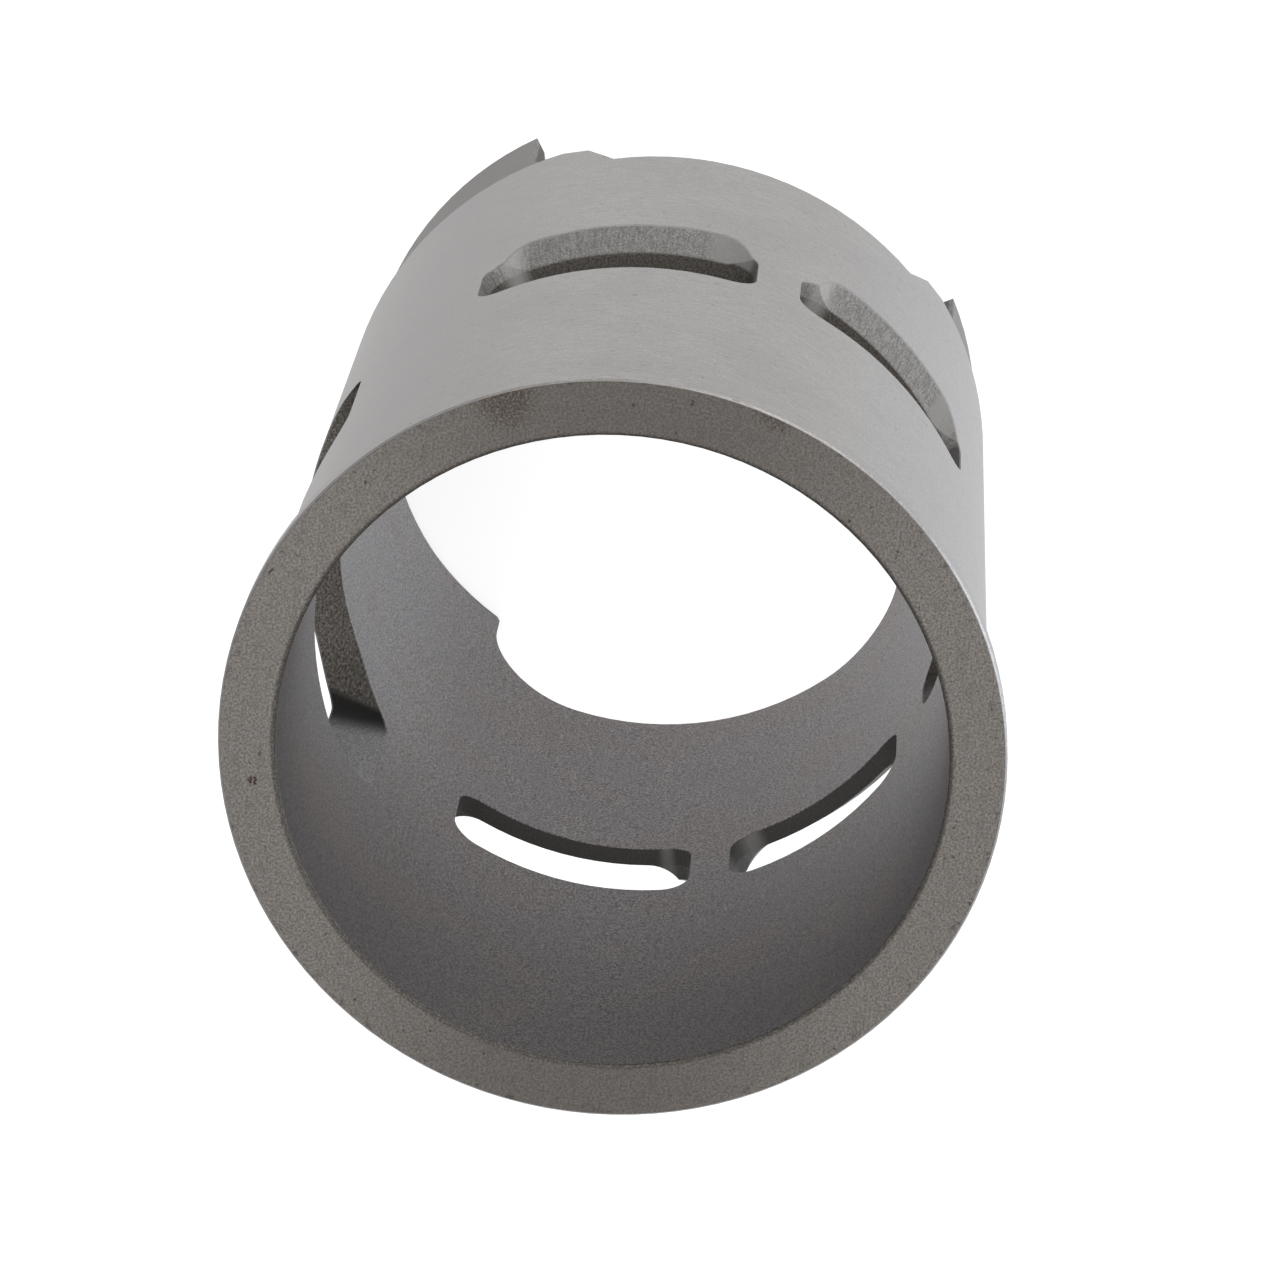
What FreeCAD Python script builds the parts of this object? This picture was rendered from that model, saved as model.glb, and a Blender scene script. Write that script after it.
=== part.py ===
import FreeCAD, Part
import os
import Sketcher

# Cylinder liner of a water-cooled two-stroke engine, one turned and milled iron sleeve.
# It stands on its skirt with the bore along Z and the deck face of its flange on top.
# The exhaust port faces -Y and the boost port faces +Y. The transfer windows mirror each other
# across the YZ plane; all that is cut from outside is indexed against them by a degree.

NODE = "cylinder_liner"

# Driving sizes in millimetres and degrees. Depths run down from the deck face.
SIZES = [
    # turned sleeve
    ("overall_length", 130.0),
    ("bore_radius", 38.0),
    ("wall_thickness", 4.4),
    ("flange_width", 2.1),
    ("flange_thickness", 2.75),
    ("skirt_relief", 1.1),
    ("skirt_relief_height", 19.5),
    ("lead_in_height", 4.0),
    ("lead_in_width", 1.1),
    ("bore_edge_break", 0.35),
    ("flange_edge_break", 0.3),
    # turn of all that is cut from outside, clockwise from above
    ("outside_index", 1.0),
    # exhaust port, its outline measured in a plane short of the bore wall
    ("exhaust_plane_inset", 14.0),
    ("exhaust_taper", 20.0),
    ("exhaust_roof_depth", 33.7),
    ("exhaust_height", 37.7),
    ("exhaust_half_chord", 26.1),
    ("exhaust_roof_radius", 8.5),
    ("exhaust_shoulder_run", 8.3),
    ("exhaust_shoulder_rise", 9.7),
    ("exhaust_shoulder_radius", 5.0),
    ("exhaust_floor_radius", 8.0),
    # transfer ports, mirrored pairs, azimuths from the X axis
    ("transfer_floor_depth", 64.7),
    ("transfer_corner_radius", 3.5),
    ("ramp_land", 2.3),
    ("ramp_side_step", 1.2),
    ("ramp_corner_radius", 5.0),
    ("main_azimuth", 8.8),
    ("main_half_angle", 23.3),
    ("main_height", 13.4),
    ("main_ramp_drop", 5.5),
    ("secondary_azimuth", 42.0),
    ("secondary_half_angle", 19.9),
    ("secondary_height", 12.8),
    ("secondary_ramp_drop", 6.2),
    # boost port, cut from inside the bore with a disc cutter
    ("boost_floor_depth", 66.9),
    ("boost_height", 13.4),
    ("boost_cutter_radius", 14.0),
    ("boost_break_through", 0.45),
    ("boost_corner_radius", 5.2),
    # skirt cut-outs, a pair, azimuth from the X axis
    ("cutout_azimuth", 14.9),
    ("cutout_half_angle", 46.5),
    ("cutout_height", 21.7),
    ("cutout_corner_radius", 13.0),
    ("cutout_ramp_half_angle", 34.2),
    ("cutout_ramp_land", 0.3),
    ("cutout_ramp_rise", 6.0),
    ("cutout_ramp_corner", 3.9),
]

# Radii and levels that follow from the driving sizes
BORE = "sizes.bore_radius"
BODY = "(sizes.bore_radius + sizes.wall_thickness)"
FLANGE = "(sizes.bore_radius + sizes.wall_thickness + sizes.flange_width)"
SKIRT = "(sizes.bore_radius + sizes.wall_thickness - sizes.skirt_relief)"
LENGTH = "sizes.overall_length"
FLANGE_UNDERSIDE = "(sizes.overall_length - sizes.flange_thickness)"
EXHAUST_ROOF = "(sizes.overall_length - sizes.exhaust_roof_depth)"
EXHAUST_FLOOR = "(sizes.overall_length - sizes.exhaust_roof_depth - sizes.exhaust_height)"
TRANSFER_FLOOR = "(sizes.overall_length - sizes.transfer_floor_depth)"
BOOST_FLOOR = "(sizes.overall_length - sizes.boost_floor_depth)"

# A cutter runs on past the surface it breaks through, most by one wall thickness
INSIDE = "(sizes.bore_radius - sizes.wall_thickness)"
OUTSIDE = "(sizes.bore_radius + 2 * sizes.wall_thickness)"

doc = FreeCAD.newDocument(NODE)

sheet = doc.addObject("Spreadsheet::Sheet", "sizes")
for row, (alias, size) in enumerate(SIZES, start=1):
    sheet.set("A%d" % row, alias)
    sheet.set("B%d" % row, str(size))
    sheet.setAlias("B%d" % row, alias)
doc.recompute()


def new_body(name):
    body = doc.addObject("PartDesign::Body", name)
    body.Label = name
    return body


def origin_plane(body, role):
    for element in body.Origin.OriginFeatures:
        if element.Role == role:
            return element


def polygon_sketch(body, name, plane, corners):
    """Closed outline whose corners are held by horizontal and vertical distances from the origin."""
    sketch = body.newObject("Sketcher::SketchObject", name)
    sketch.AttachmentSupport = (origin_plane(body, plane), [""])
    sketch.MapMode = "FlatFace"
    points = []
    for across, up in corners:
        points.append(FreeCAD.Vector(sheet.evalExpression(across), sheet.evalExpression(up), 0))
    count = len(points)
    for index in range(count):
        sketch.addGeometry(Part.LineSegment(points[index], points[(index + 1) % count]), False)
    for index in range(count):
        sketch.addConstraint(Sketcher.Constraint("Coincident", index, 2, (index + 1) % count, 1))
    for index, (across, up) in enumerate(corners):
        for kind, size, text in (("DistanceX", points[index].x, across), ("DistanceY", points[index].y, up)):
            label = "corner_%d_%s" % (index + 1, "across" if kind == "DistanceX" else "up")
            number = sketch.addConstraint(Sketcher.Constraint(kind, -1, 1, index, 1, size))
            sketch.renameConstraint(number, label)
            sketch.setExpression("Constraints." + label, text)
    doc.recompute()
    return sketch


def revolve(body, name, sketch, angle):
    """Solid of revolution about the body's own Z axis, centred on the sketch plane."""
    feature = body.newObject("PartDesign::Revolution", name)
    feature.Profile = sketch
    feature.ReferenceAxis = (sketch, ["V_Axis"])
    feature.Midplane = True
    feature.setExpression("Angle", angle)
    doc.recompute()
    return feature


def straight_edges(feature, wanted):
    """Names of the straight edges whose two ends pass the test."""
    names = []
    for number, edge in enumerate(feature.Shape.Edges, start=1):
        start, end = edge.Vertexes[0].Point, edge.Vertexes[-1].Point
        if edge.Length - start.distanceToPoint(end) > 1e-4:
            continue
        if wanted(start, end):
            names.append("Edge%d" % number)
    return names


def fillet(body, name, feature, edges, radius):
    rounding = body.newObject("PartDesign::Fillet", name)
    rounding.Base = (feature, edges)
    rounding.setExpression("Radius", radius)
    doc.recompute()
    return rounding


def level(start, end):
    return abs(start.z - end.z) < 1e-4


def radial(start, end):
    return abs(start.x ** 2 + start.y ** 2 - end.x ** 2 - end.y ** 2) > 1e-2


def corner_at(height):
    """Test for the edges that run outwards along Y and whose inner end is at one level."""
    def wanted(start, end):
        inner = start if start.y > end.y else end
        return abs(start.y - end.y) > 1 and abs(inner.z - height) < 1e-3
    return wanted


def turn_to(body, azimuth):
    """Turn a cutter about the bore, most of them from the X axis to the azimuth of their port."""
    body.setExpression("Placement.Rotation.Angle", azimuth)


# Turned sleeve: lead-in chamfer, relieved skirt, body, deck flange and its edge breaks.
# Bore and body are drawn in two stretches each, which meet just above the exhaust port,
# so that the upper stretch is a face with no port in it.
port_belt_top = EXHAUST_ROOF + " - 0.25 * sizes.wall_thickness"
liner = new_body(NODE)
wall = polygon_sketch(liner, "wall_section", "XZ_Plane", [
    (BORE, "sizes.lead_in_height"),
    (BORE + " + sizes.lead_in_width", "0"),
    (SKIRT, "0"),
    (SKIRT, "sizes.skirt_relief_height"),
    (BODY, "sizes.skirt_relief_height"),
    (BODY, port_belt_top),
    (BODY, FLANGE_UNDERSIDE),
    (FLANGE, FLANGE_UNDERSIDE),
    (FLANGE, LENGTH + " - sizes.flange_edge_break"),
    (FLANGE + " - sizes.flange_edge_break", LENGTH),
    (BORE + " + sizes.bore_edge_break", LENGTH),
    (BORE, LENGTH + " - sizes.bore_edge_break"),
    (BORE, port_belt_top),
])
sleeve = revolve(liner, "turned_sleeve", wall, "360")
sleeve.Refine = False


def exhaust_cutter():
    """Window that narrows outwards, with round corners and shoulders that slope to its floor."""
    body = new_body("exhaust_window")
    shoulder = EXHAUST_FLOOR + " + sizes.exhaust_shoulder_rise"
    floor_half = "(sizes.exhaust_half_chord - sizes.exhaust_shoulder_run)"
    outline = polygon_sketch(body, "exhaust_outline", "XZ_Plane", [
        ("-sizes.exhaust_half_chord", EXHAUST_ROOF),
        ("-sizes.exhaust_half_chord", shoulder),
        ("-" + floor_half, EXHAUST_FLOOR),
        (floor_half, EXHAUST_FLOOR),
        ("sizes.exhaust_half_chord", shoulder),
        ("sizes.exhaust_half_chord", EXHAUST_ROOF),
    ])
    outline.setExpression("AttachmentOffset.Base.z", "sizes.bore_radius - sizes.exhaust_plane_inset")
    block = body.newObject("PartDesign::Pad", "exhaust_block")
    block.Profile = outline
    block.setExpression("Length", "sizes.exhaust_plane_inset + 1.25 * sizes.wall_thickness")
    block.setExpression("TaperAngle", "-sizes.exhaust_taper")
    doc.recompute()
    rounded = block
    for name, height, radius in (
            ("exhaust_roof_corners", EXHAUST_ROOF, "sizes.exhaust_roof_radius"),
            ("exhaust_shoulders", shoulder, "sizes.exhaust_shoulder_radius"),
            ("exhaust_floor_corners", EXHAUST_FLOOR, "sizes.exhaust_floor_radius")):
        edges = straight_edges(rounded, corner_at(sheet.evalExpression(height)))
        rounded = fillet(body, name, rounded, edges, radius)
    turn_to(body, "-sizes.outside_index")
    return [body]


def transfer_cutters(name, azimuth, half_angle, height, drop):
    """Window with radial end walls, and the ramp that lets the passage in from below outside."""
    roof = TRANSFER_FLOOR + " + " + height
    window_body = new_body(name + "_window")
    section = polygon_sketch(window_body, name + "_window_section", "XZ_Plane", [
        (INSIDE, TRANSFER_FLOOR),
        (OUTSIDE, TRANSFER_FLOOR),
        (OUTSIDE, roof),
        (INSIDE, roof),
    ])
    window = revolve(window_body, name + "_window_sweep", section, "2 * " + half_angle)
    fillet(window_body, name + "_window_corners", window,
           straight_edges(window, level), "sizes.transfer_corner_radius")
    turn_to(window_body, azimuth)

    # the ramp starts at the land inside the wall and leaves the body lower by the drop
    start = "(sizes.bore_radius + sizes.ramp_land)"
    slope = "(%s / (sizes.wall_thickness - sizes.ramp_land))" % drop
    far_level = "%s - %s * (%s - %s)" % (TRANSFER_FLOOR, slope, OUTSIDE, start)
    middle = TRANSFER_FLOOR + " + 0.5 * " + height
    ramp_body = new_body(name + "_ramp")
    section = polygon_sketch(ramp_body, name + "_ramp_section", "XZ_Plane", [
        (start, TRANSFER_FLOOR),
        (OUTSIDE, far_level),
        (OUTSIDE, middle),
        (start, middle),
    ])
    ramp = revolve(ramp_body, name + "_ramp_sweep", section,
                   "2 * (%s - sizes.ramp_side_step)" % half_angle)
    sloping = straight_edges(ramp, lambda a, b: radial(a, b) and not level(a, b))
    fillet(ramp_body, name + "_ramp_corners", ramp, sloping, "sizes.ramp_corner_radius")
    turn_to(ramp_body, azimuth + " - sizes.outside_index")
    return [window_body, ramp_body]


def cutout_cutters(name, azimuth):
    """Open-ended skirt cut-out with round top corners, and the ramp milled above it from outside."""
    through_body = new_body(name + "_through")
    section = polygon_sketch(through_body, name + "_through_section", "XZ_Plane", [
        (INSIDE, "-sizes.wall_thickness"),
        (OUTSIDE, "-sizes.wall_thickness"),
        (OUTSIDE, "sizes.cutout_height"),
        (INSIDE, "sizes.cutout_height"),
    ])
    through = revolve(through_body, name + "_through_sweep", section, "2 * sizes.cutout_half_angle")
    upper = straight_edges(through, lambda a, b: level(a, b) and a.z > 0)
    fillet(through_body, name + "_through_corners", through, upper, "sizes.cutout_corner_radius")
    turn_to(through_body, azimuth)

    # the ramp starts at a narrow land at the top of the cut-out and rises towards the outside
    start = "(sizes.bore_radius + sizes.cutout_ramp_land)"
    slope = "(sizes.cutout_ramp_rise / (sizes.wall_thickness - sizes.cutout_ramp_land))"
    near_level = "sizes.cutout_height + %s * (%s - %s)" % (slope, INSIDE, start)
    far_level = "sizes.cutout_height + %s * (%s - %s)" % (slope, OUTSIDE, start)
    bottom = "sizes.cutout_height - 0.75 * sizes.cutout_corner_radius"
    ramp_body = new_body(name + "_ramp")
    section = polygon_sketch(ramp_body, name + "_ramp_section", "XZ_Plane", [
        (INSIDE, bottom),
        (OUTSIDE, bottom),
        (OUTSIDE, far_level),
        (INSIDE, near_level),
    ])
    ramp = revolve(ramp_body, name + "_ramp_sweep", section, "2 * sizes.cutout_ramp_half_angle")
    sloping = straight_edges(ramp, lambda a, b: radial(a, b) and not level(a, b))
    sides = ramp_body.newObject("PartDesign::Chamfer", name + "_ramp_sides")
    sides.Base = (ramp, sloping)
    sides.setExpression("Size", "sizes.cutout_ramp_corner")
    doc.recompute()
    turn_to(ramp_body, azimuth)
    return [through_body, ramp_body]


def boost_cutter():
    """Disc cutter fed from inside until it just breaks through the back of the sleeve."""
    body = new_body("boost_disc")
    section = polygon_sketch(body, "boost_disc_section", "XZ_Plane", [
        ("0", BOOST_FLOOR),
        ("sizes.boost_cutter_radius", BOOST_FLOOR),
        ("sizes.boost_cutter_radius", BOOST_FLOOR + " + sizes.boost_height"),
        ("0", BOOST_FLOOR + " + sizes.boost_height"),
    ])
    disc = revolve(body, "boost_disc_sweep", section, "360")
    rims = []
    for number, edge in enumerate(disc.Shape.Edges, start=1):
        if edge.Curve.TypeId == "Part::GeomCircle":
            rims.append("Edge%d" % number)
    fillet(body, "boost_disc_rims", disc, rims, "sizes.boost_corner_radius")
    body.setExpression("Placement.Base.y",
                       "%s + sizes.boost_break_through - sizes.boost_cutter_radius" % BODY)
    return [body]


# Every window, ramp and cut-out is taken out of the sleeve by its own cutter, one after the other
cutters = exhaust_cutter()
for side, fore, aft in (("right", "360 - %s", "%s"), ("left", "180 + %s", "180 - %s")):
    cutters += transfer_cutters(
        side + "_main", fore % "sizes.main_azimuth", "sizes.main_half_angle",
        "sizes.main_height", "sizes.main_ramp_drop")
    cutters += transfer_cutters(
        side + "_secondary", aft % "sizes.secondary_azimuth", "sizes.secondary_half_angle",
        "sizes.secondary_height", "sizes.secondary_ramp_drop")
    cutters += cutout_cutters(side + "_cutout", aft % "sizes.cutout_azimuth" + " - sizes.outside_index")
cutters += boost_cutter()
doc.recompute()

idle = []
for cutter in cutters:
    before = liner.Shape.Volume
    cut = liner.newObject("PartDesign::Boolean", cutter.Label + "_cut")
    cut.Type = "Cut"
    cut.setObjects([cutter])
    cut.Refine = False
    liner.Tip = cut
    doc.recompute()
    if not cut.Shape.Volume < before - 1:
        idle.append(cutter.Label)
liner.Placement = FreeCAD.Placement()
doc.recompute()

# The model is written only if every object is sound and each step took material away
for item in doc.Objects:
    if "Invalid" in item.State or "Error" in item.State:
        raise RuntimeError("%s did not build" % item.Label)
if idle:
    raise RuntimeError("nothing was cut by " + ", ".join(idle))
if liner.Shape.isNull() or not liner.Shape.isValid() or len(liner.Shape.Solids) != 1:
    raise RuntimeError("the liner is not one sound solid")

os.makedirs("parts", exist_ok=True)
liner.Shape.exportStep("parts/" + liner.Label + ".step")
print("volume %.1f mm3, box %s" % (liner.Shape.Volume, liner.Shape.BoundBox))
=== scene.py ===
import bpy
from mathutils import Matrix, Vector

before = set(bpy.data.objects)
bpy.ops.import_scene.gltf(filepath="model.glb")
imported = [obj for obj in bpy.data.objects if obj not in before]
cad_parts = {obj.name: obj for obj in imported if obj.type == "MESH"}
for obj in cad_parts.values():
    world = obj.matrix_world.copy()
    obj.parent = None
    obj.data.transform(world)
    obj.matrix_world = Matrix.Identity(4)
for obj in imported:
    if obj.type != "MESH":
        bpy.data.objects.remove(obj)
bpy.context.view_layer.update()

scene = bpy.context.scene

# Sizes of the sleeve that its finishes are placed by, in millimetres
DECK_HEIGHT = 130.0
BORE_RADIUS = 38.0
BODY_RADIUS = 42.4
SKIRT_RELIEF_HEIGHT = 19.5
SKIRT_CUTOUT_TOP = 40.0

DEGREES = 57.2958
MILLIMETRES = (1000, 1000, 1000)


def srgb(red, green, blue):
    """Linear colour of a display colour given in 0 to 255."""
    linear = []
    for part in (red, green, blue):
        part /= 255
        linear.append(part / 12.92 if part <= 0.04045 else ((part + 0.055) / 1.055) ** 2.4)
    return (*linear, 1.0)


class Nodes:
    """Adds shader nodes to one material or world and returns their outputs."""

    def __init__(self, owner):
        owner.use_nodes = True
        self.tree = owner.node_tree
        self.tree.nodes.clear()

    def add(self, kind, inputs=None, output=0, **settings):
        node = self.tree.nodes.new(kind)
        for name, setting in settings.items():
            setattr(node, name, setting)
        for name, source in (inputs or {}).items():
            if isinstance(source, bpy.types.NodeSocket):
                self.tree.links.new(source, node.inputs[name])
            else:
                node.inputs[name].default_value = source
        return node.outputs[output] if node.outputs else None

    def math(self, operation, first, second=0.0, clamp=False):
        return self.add("ShaderNodeMath", {0: first, 1: second}, operation=operation, use_clamp=clamp)

    def times(self, first, second):
        return self.math("MULTIPLY", first, second)

    def larger(self, first, second):
        return self.math("MAXIMUM", first, second)

    def vector(self, operation, first, second=(0, 0, 0)):
        return self.add("ShaderNodeVectorMath", {0: first, 1: second}, operation=operation)

    def scaled(self, vector, x, y, z):
        return self.vector("MULTIPLY", vector, (x, y, z))

    def length(self, vector):
        return self.add("ShaderNodeVectorMath", {0: vector}, output="Value", operation="LENGTH")

    def step(self, value, low, high):
        """0 below low, 1 above high, smooth between; low may be the larger."""
        return self.add("ShaderNodeMapRange", {"Value": value, "From Min": low, "From Max": high},
                        interpolation_type="SMOOTHSTEP", clamp=True)

    def near(self, value, middle, outer, inner):
        """1 within inner of the middle, 0 beyond outer."""
        return self.step(self.math("ABSOLUTE", self.math("SUBTRACT", value, middle)), outer, inner)

    def mix(self, factor, first, second):
        return self.add("ShaderNodeMix", {0: factor, 6: first, 7: second}, output=2, data_type="RGBA")

    def lerp(self, factor, first, second):
        return self.add("ShaderNodeMix", {0: factor, 2: first, 3: second}, data_type="FLOAT")

    def two_tone(self, texture, low, high, dark, light):
        """Dark where the texture is below low, light where it is above high."""
        return self.mix(self.step(texture, low, high), srgb(*dark), srgb(*light))

    def tint(self, colour, mask, amount, shade):
        """The colour, turned towards the shade by the amount where the mask is 1."""
        return self.mix(self.times(mask, amount), colour, srgb(*shade))

    def noise(self, vector, scale, detail=2.0, roughness=0.5):
        return self.add("ShaderNodeTexNoise", {
            "Vector": vector, "Scale": scale, "Detail": detail, "Roughness": roughness})

    def seen(self):
        """1 for rays from the camera, or by way of a reflection or clear material, else 0."""
        path = self.add("ShaderNodeLightPath").node
        direct = self.larger(path.outputs["Is Camera Ray"], path.outputs["Is Glossy Ray"])
        return self.larger(direct, path.outputs["Is Transmission Ray"])


class Spot:
    """Where a shaded point is on the sleeve, in millimetres, and the textures that finishes share."""

    def __init__(self, n):
        self.place = n.vector("MULTIPLY", n.add("ShaderNodeTexCoord", output="Object"), MILLIMETRES)
        self.x, self.y, self.z = n.add("ShaderNodeSeparateXYZ", {0: self.place}).node.outputs
        self.radius = n.length(n.scaled(self.place, 1, 1, 0))
        self.around = n.vector("NORMALIZE", n.scaled(self.place, 1, 1, 0))
        self.azimuth = n.times(n.math("ARCTAN2", self.y, self.x), DEGREES)

        self.grain = n.noise(self.place, 3.6, 2, 0.6)
        self.blotch = n.noise(self.place, 0.7, 3, 0.65)
        self.cloud = n.noise(self.place, 0.07, 2, 0.5)
        self.specks = n.noise(self.place, 1.25, 1, 0.5)
        # cutter chatter of the transfer ports, in ridges across the wall
        self.chatter = n.noise(n.vector("ADD", n.scaled(self.around, 130, 130, 0),
                                        n.scaled(self.place, 0, 0, 0.4)), 1.0, 1, 0.5)
        # scratches of the exhaust port, aslant across its floor
        self.scratches = n.noise(n.vector("ADD", n.scaled(self.place, 0.6, 3.4, 0),
                                          n.scaled(self.place, 2.2, 0, 0)), 1.0, 2, 0.6)


def deck_colour(n, at):
    """Dark, faintly mottled and pitted, with nicks along the outer edge and a few brown stains; painted
    shade darkens it along the X axis and towards -X.
    """
    colour = n.two_tone(at.grain, 0.3, 0.7, (90, 86, 82), (125, 121, 117))
    colour = n.tint(colour, n.step(at.blotch, 0.45, 0.7), 0.3, (84, 79, 75))
    # painted shade: darker along the X axis, where the ground finish reflects less light
    colour = n.tint(colour, n.step(n.math("ABSOLUTE", at.y), 34.0, 6.0), 0.42, (66, 61, 58))
    colour = n.tint(colour, n.step(at.specks, 0.72, 0.8), 0.8, (48, 43, 40))
    nicks = n.times(n.step(at.radius, 42.6, 44.3), n.step(at.blotch, 0.60, 0.68))
    colour = n.tint(colour, nicks, 0.6, (60, 54, 50))
    # painted shade: darker towards -X
    colour = n.tint(colour, n.step(at.x, -20.0, -40.0), 0.2, (68, 63, 60))
    stains = ((7.2, -40.1, 0.75, 1.6), (-41.0, -15.2, 4.5, 0.8), (-43.0, 14.9, 3.5, 0.7))
    for stain_x, stain_y, size, amount in stains:
        away = n.length(n.vector("SUBTRACT", at.place, (stain_x, stain_y, DECK_HEIGHT)))
        away = n.math("ADD", away, n.times(at.blotch, size * 1.2))
        patchy = n.times(n.step(at.grain, 0.7, 0.35), amount)
        stain = n.times(n.step(away, size * 1.6, size * 0.9), patchy)
        colour = n.mix(stain, colour, srgb(56, 44, 37))
    return colour


def body_colour(n, at):
    """Light, ground round about, with short scratches and small pits; painted shade darkens the -Y side
    and a painted bluish highlight lightens the +Y side.
    """
    lines = n.noise(n.scaled(at.place, 0.4, 0.4, 6.0), 1.0, 2, 0.6)
    colour = n.two_tone(lines, 0.25, 0.75, (138, 135, 133), (160, 158, 155))
    colour = n.tint(colour, n.step(at.cloud, 0.4, 0.7), 0.5, (139, 136, 135))
    # painted shade: the -Y side darker
    colour = n.tint(colour, n.step(at.y, -8.0, -30.0), 0.65, (122, 119, 120))
    # painted highlight: the +Y side lighter and bluish
    colour = n.tint(colour, n.step(at.y, 14.0, 38.0), 0.6, (162, 163, 167))
    colour = n.tint(colour, n.step(at.grain, 0.40, 0.62), 0.45, (122, 119, 117))
    dashes = n.noise(n.scaled(at.place, 0.55, 0.55, 3.2), 1.0, 1, 0.5)
    dashes = n.times(n.step(dashes, 0.68, 0.73), n.step(at.cloud, 0.47, 0.56))
    colour = n.tint(colour, dashes, 0.45, (84, 80, 78))
    pits = n.noise(n.vector("ADD", at.place, (31, 7, 0)), 0.95, 1, 0.5)
    return n.tint(colour, n.step(pits, 0.71, 0.77), 0.5, (104, 100, 98))


def bore_colour(n, at):
    """Honed, with a pebbly grain; painted shade darkens it towards the deck and at +X, and painted light
    makes it paler low down at -Y.
    """
    colour = n.two_tone(at.grain, 0.36, 0.64, (56, 52, 53), (149, 144, 144))
    colour = n.tint(colour, n.step(at.cloud, 0.4, 0.65), 0.4, (108, 106, 112))
    colour = n.tint(colour, n.step(at.specks, 0.71, 0.79), 0.6, (58, 54, 53))
    # painted shade: a darker copy of the grain, blended in towards the deck
    painted_shade_upper = n.two_tone(at.grain, 0.36, 0.64, (42, 38, 36), (102, 97, 95))
    colour = n.mix(n.times(n.step(at.z, 72.0, 124.0), 0.76), colour, painted_shade_upper)
    # painted shade: darker at +X
    colour = n.tint(colour, n.step(at.x, -20.0, 30.0), 0.25, (74, 70, 70))
    # painted light: a paler copy of the grain, low down at -Y
    painted_light_copy = n.two_tone(at.grain, 0.36, 0.64, (104, 104, 108), (170, 170, 174))
    painted_light_low_down = n.times(n.step(at.y, -20.0, -34.0), n.step(at.z, 88.0, 56.0))
    colour = n.mix(n.times(painted_light_low_down, 0.4), colour, painted_light_copy)
    return n.tint(colour, n.step(at.cloud, 0.50, 0.36), 0.22, (112, 92, 82))


def transfer_colour(n, at):
    """Gritty ramps with tool chatter and a dark land at the bore, partly painted shade; painted shade
    blackens the ports on the +X side and painted highlights brighten their far ends.
    """
    above_cutouts = n.step(at.z, SKIRT_CUTOUT_TOP, SKIRT_CUTOUT_TOP + 2.0)
    colour = n.two_tone(at.grain, 0.3, 0.7, (108, 105, 102), (158, 156, 153))
    colour = n.tint(colour, n.step(at.chatter, 0.45, 0.62), 0.35, (88, 85, 82))
    # smooth stretch before the +Y end of each -X port
    for azimuth, outer, inner in ((169.0, 6.0, 3.0), (122.8, 3.6, 1.6)):
        colour = n.tint(colour, n.near(at.azimuth, azimuth, outer, inner), 0.8, (142, 140, 137))
    # dark land, a little wider at that end: partly its own duller finish, partly painted shade under the
    # port's roof; painted shade also darkens the wall that closes the port there
    wider = n.larger(n.near(at.azimuth, 165.0, 5.6, 4.0), n.near(at.azimuth, 118.0, 4.6, 3.2))
    land = n.math("SUBTRACT", at.radius, n.times(wider, 0.3))
    colour = n.mix(n.step(land, 40.5, 40.2), colour,
                   n.two_tone(at.grain, 0.3, 0.7, (56, 52, 48), (100, 95, 89)))
    shaded_end_wall = n.larger(n.near(at.azimuth, 164.8, 2.0, 1.0), n.near(at.azimuth, 117.6, 1.6, 0.8))
    colour = n.tint(colour, n.times(shaded_end_wall, above_cutouts), 0.7, (58, 55, 52))
    # painted shade: the ports on the +X side blackened
    colour = n.tint(colour, n.step(at.x, 8.0, 18.0), 0.82, (30, 29, 27))
    # painted highlights: brighter where the end walls near the other end catch the light
    painted_highlights = ((-152.4, 3.2, 182, 0.65), (153.4, 3.2, 186, 0.6),
             (9.5, 2.0, 124, 0.5), (26.0, 3.0, 118, 0.6))
    for azimuth, width, shade, amount in painted_highlights:
        # painted highlight on a lit end wall
        turned = n.times(n.near(at.azimuth, azimuth, width, 0.3), above_cutouts)
        colour = n.tint(colour, turned, amount, (shade, shade - 2, shade - 5))
    return colour


def exhaust_colour(n, at):
    """Dark scratched floor, a black band of painted shade along the crease at each shoulder, and sides
    painted lighter as painted light.
    """
    depth = n.times(at.y, -1.0)
    along = n.math("ADD", n.times(n.math("ABSOLUTE", at.x), 0.65), n.times(at.z, 0.76))
    colour = n.two_tone(at.scratches, 0.3, 0.7, (74, 70, 66), (154, 148, 141))
    colour = n.tint(colour, n.step(at.grain, 0.40, 0.62), 0.4, (60, 57, 53))
    # painted shade: a black band along the crease between floor and shoulder
    shade_band = n.math("ADD", along, n.times(depth, 0.161))
    colour = n.mix(n.step(shade_band, 69.8, 71.4), colour, srgb(38, 36, 35))
    above = n.math("SUBTRACT", along, n.times(depth, 0.23))
    # painted light: the sides written lighter than the metal
    side = n.two_tone(at.grain, 0.38, 0.62, (150, 150, 152), (202, 202, 204))
    return n.mix(n.step(above, 59.9, 64.6), colour, side)


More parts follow.
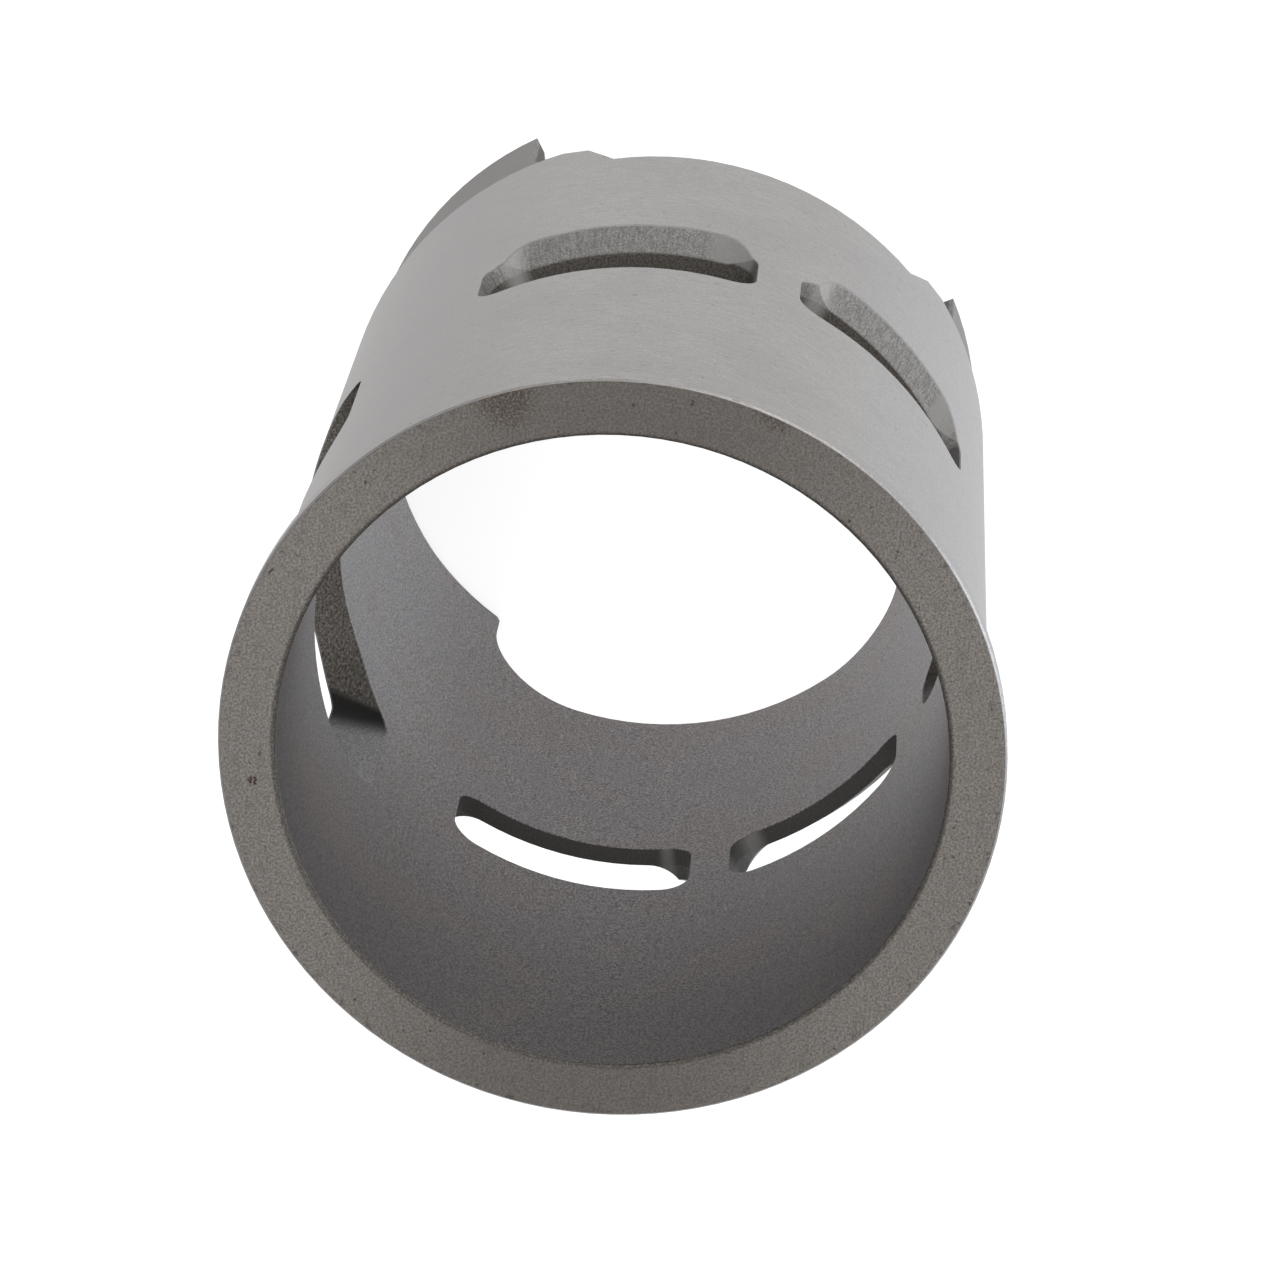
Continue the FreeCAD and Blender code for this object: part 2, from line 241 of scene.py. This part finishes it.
def iron_material():
    """One iron for the whole sleeve; its finish, with painted light and shade on some parts, follows the
    surface: deck, body, bore, skirt or port.
    """
    material = bpy.data.materials.new("liner_iron")
    n = Nodes(material)
    at = Spot(n)

    deck = n.step(at.z, DECK_HEIGHT - 0.10, DECK_HEIGHT - 0.04)
    body = n.step(at.radius, BODY_RADIUS - 0.18, BODY_RADIUS - 0.10)
    bore = n.step(at.radius, BORE_RADIUS + 0.14, BORE_RADIUS + 0.06)
    skirt = n.times(n.step(at.z, SKIRT_RELIEF_HEIGHT + 0.1, SKIRT_RELIEF_HEIGHT - 0.1),
                    n.step(at.radius, 41.1, 41.2))
    wall = n.larger(n.larger(deck, body), n.larger(bore, skirt))
    port = n.math("SUBTRACT", 1.0, wall, clamp=True)
    exhaust = n.step(at.y, -26.0, -27.5)
    edge_break = n.times(n.step(at.z, DECK_HEIGHT - 0.45, DECK_HEIGHT - 0.3),
                         n.step(at.radius, BORE_RADIUS + 0.7, BORE_RADIUS + 0.3))

    ground = body_colour(n, at)
    colour = n.mix(exhaust, transfer_colour(n, at), exhaust_colour(n, at))
    colour = n.mix(bore, colour, bore_colour(n, at))
    colour = n.mix(skirt, colour, n.mix(0.45, ground, srgb(110, 106, 105)))
    colour = n.mix(body, colour, ground)
    colour = n.mix(deck, colour, deck_colour(n, at))
    # painted shade: the chamfer at the bore's edge on the deck darkened
    colour = n.mix(edge_break, colour, n.two_tone(at.grain, 0.4, 0.7, (66, 62, 59), (100, 95, 90)))

    rough = n.lerp(bore, 0.62, 0.45)
    rough = n.lerp(body, rough, 0.42)
    rough = n.lerp(deck, rough, 0.58)
    metal = n.lerp(port, 0.8, 0.35)

    height = n.times(at.grain, n.lerp(body, 0.03, 0.008))
    grit = n.lerp(exhaust, at.chatter, at.scratches)
    height = n.math("ADD", height, n.times(grit, n.times(port, 0.06)))
    normal = n.add("ShaderNodeBump", {"Height": height, "Strength": 1.0, "Distance": 0.001})

    surface = n.add("ShaderNodeBsdfPrincipled", {
        "Base Color": colour, "Roughness": rough, "Metallic": metal, "Normal": normal})
    n.add("ShaderNodeOutputMaterial", {"Surface": surface})
    return material


def floor_material():
    """Pale diffuse floor that the camera and reflections see as white, with the object's shadow kept."""
    material = bpy.data.materials.new("floor_white")
    n = Nodes(material)
    diffuse = n.add("ShaderNodeBsdfDiffuse", {"Color": (0.5, 0.5, 0.5, 1)})
    glow = n.add("ShaderNodeEmission", {"Color": (1, 1, 1, 1), "Strength": n.times(n.seen(), 0.85)})
    n.add("ShaderNodeOutputMaterial", {"Surface": n.add("ShaderNodeAddShader", {0: diffuse, 1: glow})})
    return material


def lamp(name, place, size, power, colour=(1, 1, 1)):
    """A round soft lamp, aimed at the middle of the sleeve."""
    light = bpy.data.lights.new(name, "AREA")
    light.shape = "DISK"
    light.size = size
    light.energy = power
    light.color = colour
    holder = bpy.data.objects.new(name, light)
    scene.collection.objects.link(holder)
    holder.location = place
    aim = Vector((0, 0, 0.07)) - Vector(place)
    holder.rotation_euler = aim.to_track_quat("-Z", "Y").to_euler()


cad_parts["cylinder_liner"].material_slots[0].material = iron_material()

# Pale floor under the skirt
bpy.ops.mesh.primitive_plane_add(size=12, location=(0, 0, -0.0002))
floor = bpy.context.object
floor.name = "floor"
floor.data.materials.append(floor_material())

# White to the eye, and a quarter as strong as light
scene.world = bpy.data.worlds.new("studio")
sky = Nodes(scene.world)
background = sky.add("ShaderNodeBackground", {
    "Color": (1, 1, 1, 1), "Strength": sky.lerp(sky.seen(), 0.25, 1.0)})
sky.add("ShaderNodeOutputWorld", {"Surface": background})

lamp("key", (-1.0, 0.5, 0.5), 0.9, 3.6)
lamp("side", (-0.1, 1.0, 0.4), 0.7, 4.0, (0.90, 0.95, 1.0))
lamp("overhead", (-0.25, -0.2, 1.3), 0.8, 7)

# Camera of the photograph, 1280 by 1276 pixels with the principal point at its middle
right = Vector((-0.08702, 0.99461, -0.0564))
up = Vector((-0.93276, -0.10123, -0.346))
back = Vector((-0.34984, 0.02251, 0.93654))
turn = Matrix((right, up, back)).transposed().to_quaternion()
camera = bpy.data.cameras.new("camera")
camera.lens = 145.23
camera.sensor_width = 36
camera.sensor_fit = "HORIZONTAL"
camera.clip_start = 0.01
scene.camera = bpy.data.objects.new("camera", camera)
scene.collection.objects.link(scene.camera)
scene.camera.matrix_world = Matrix.Translation((-0.21594, 0.01494, 0.66896)) @ turn.to_matrix().to_4x4()

scene.view_settings.view_transform = "Standard"
